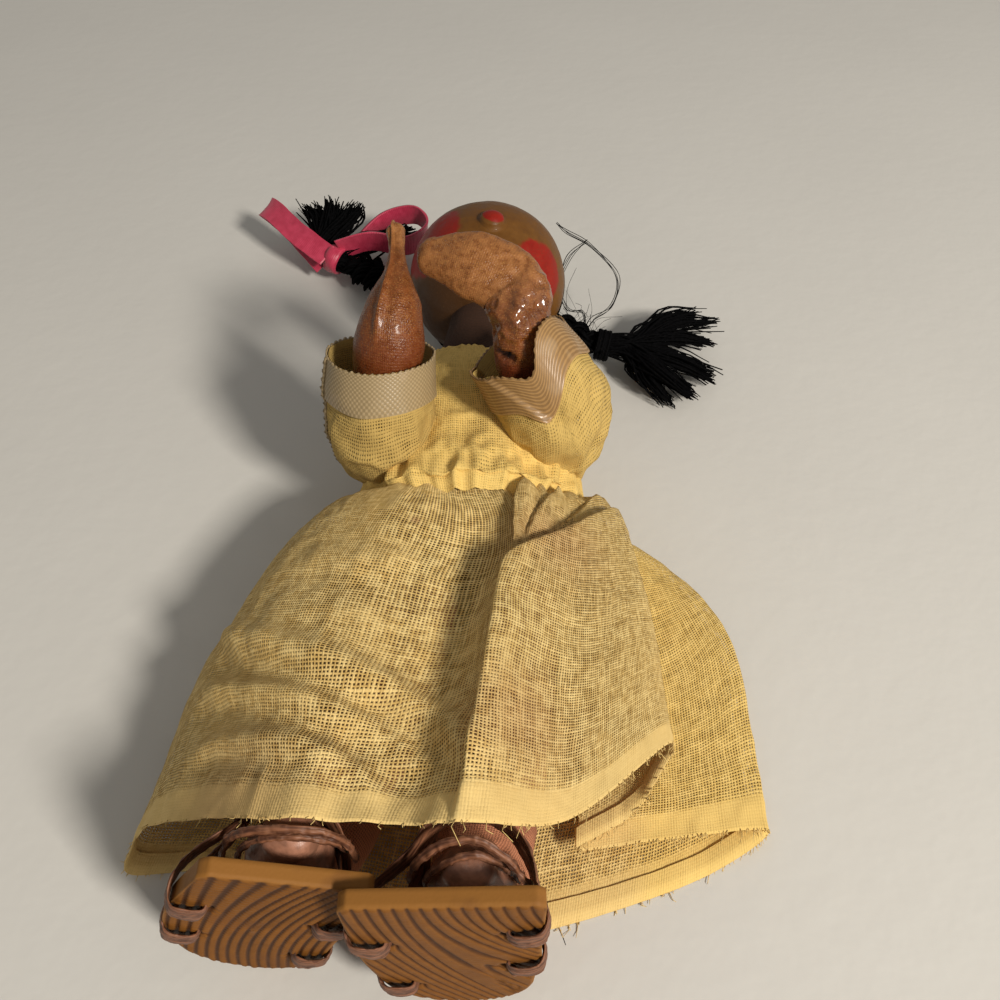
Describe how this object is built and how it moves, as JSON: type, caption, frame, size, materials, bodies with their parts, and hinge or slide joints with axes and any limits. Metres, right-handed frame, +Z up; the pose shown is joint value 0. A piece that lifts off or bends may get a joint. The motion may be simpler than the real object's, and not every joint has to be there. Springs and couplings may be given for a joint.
{
  "type": "cloth souvenir doll",
  "caption": "Small stuffed cloth doll with a ball head, raised arms, gauze dress, yarn braids and sandals, lying on its back.",
  "frame": {"origin": "under the thighs, on the flat underside of the skirt", "axes": "+Y from the soles towards the head, +Z up out of the face of the doll, which lies on its back"},
  "size_m": [0.129, 0.2165, 0.0641],
  "materials": {
    "neck_cloth": "dark brown cloth",
    "face_paint": "glossy olive brown paint with red cheeks",
    "yarn": "black yarn",
    "varnished_cloth": "copper brown varnished cloth",
    "stuffed_cloth": "dusty pink brown woven cloth",
    "gauze": "open yellow gauze",
    "cream_ribbon": "cream satin ribbon",
    "sole": "corrugated tan sole",
    "leather": "thin brown leather",
    "magenta_ribbon": "magenta satin ribbon"
  },
  "bodies": {
    "root": {"torso": "neck_cloth", "head": "face_paint", "hair": "yarn", "arm_left": "varnished_cloth", "arm_right": "varnished_cloth", "leg_left": "stuffed_cloth", "leg_right": "stuffed_cloth", "bodice": "gauze", "sleeve_left": "gauze", "sleeve_right": "gauze", "cuff_left": "cream_ribbon", "cuff_right": "cream_ribbon", "skirt": "gauze", "sole_left": "sole", "sole_right": "sole", "straps_left": "leather", "straps_right": "leather", "braid_left": "yarn", "braid_right": "yarn", "hair_ribbon": "magenta_ribbon", "hair_tie_right": "yarn"}
  },
  "joints": []
}
